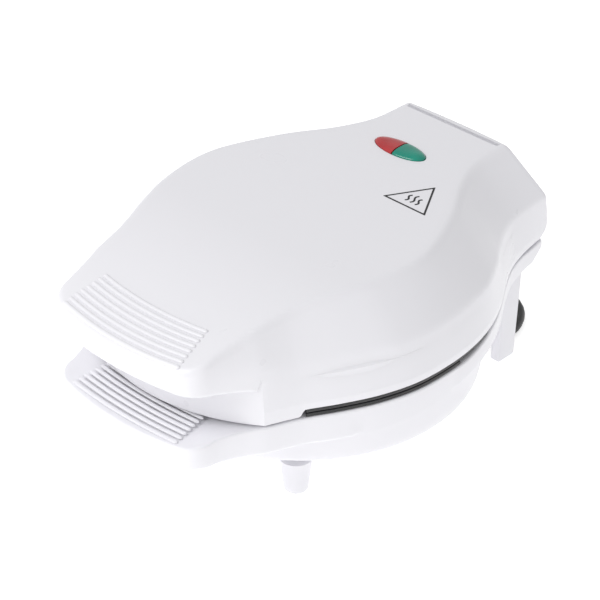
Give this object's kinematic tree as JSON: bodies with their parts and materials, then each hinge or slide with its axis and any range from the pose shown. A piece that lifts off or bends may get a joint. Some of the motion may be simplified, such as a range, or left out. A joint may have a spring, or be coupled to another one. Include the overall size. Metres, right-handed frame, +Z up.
{
  "type": "donut maker",
  "caption": "Hinged countertop donut maker: round clamshell housings with flared handles round two non-stick ring-mould plates.",
  "frame": {"origin": "centre of the bounding box's bottom, without the mains cord, on the surface the feet stand on", "axes": "+Z up, the handles point to -Y, the hinge is at +Y and its axis lies along X"},
  "size_m": [0.2221, 0.3669, 0.117],
  "materials": {
    "white_plastic": "semi-gloss moulded",
    "nonstick_aluminium": "black non-stick coating",
    "aluminised_sheet": "satin",
    "red_lens": "gloss, translucent",
    "green_lens": "gloss, translucent",
    "lamp_glass": "clear",
    "cream_ceramic": "matt",
    "glass_fibre_sleeve": "woven",
    "black_cable_rubber": "satin",
    "brass": "bright",
    "steel": "bright"
  },
  "bodies": {
    "base": {"base_lead": "glass_fibre_sleeve", "cord_clamp": "cream_ceramic", "cord_coil": "black_cable_rubber", "cord_tail": "black_cable_rubber", "hinge_pin_left": "steel", "hinge_pin_right": "steel", "lower_heater": "steel", "lower_housing": "white_plastic", "lower_plate": "nonstick_aluminium", "lower_plate_screw_1": "steel", "lower_plate_screw_2": "steel", "lower_plate_screw_3": "steel", "lower_plate_screw_4": "steel", "lower_reflector": "aluminised_sheet", "lower_reflector_screw": "steel", "mains_cord": "black_cable_rubber", "plug": "black_cable_rubber", "plug_blade_1": "brass", "plug_blade_2": "brass", "strain_relief": "black_cable_rubber", "terminal_block": "cream_ceramic", "thermal_fuse": "steel", "thermostat": "cream_ceramic", "thermostat_bracket": "steel"},
    "lid": {"green_lens": "green_lens", "green_neon_lamp": "lamp_glass", "lamp_bracket": "steel", "lamp_bracket_screw_1": "steel", "lamp_bracket_screw_2": "steel", "lid_lead": "glass_fibre_sleeve", "red_lens": "red_lens", "red_neon_lamp": "lamp_glass", "upper_heater": "steel", "upper_housing": "white_plastic", "upper_plate": "nonstick_aluminium", "upper_plate_screw_1": "steel", "upper_plate_screw_2": "steel", "upper_plate_screw_3": "steel", "upper_plate_screw_4": "steel", "upper_reflector": "aluminised_sheet", "upper_reflector_screw": "steel"}
  },
  "joints": [
    {"name": "lid_hinge", "type": "hinge", "parent": "base", "child": "lid", "pos_m": [0, 0.124, 0.0715], "axis": [-1, 0, 0], "range_deg": [0, 95]}
  ]
}
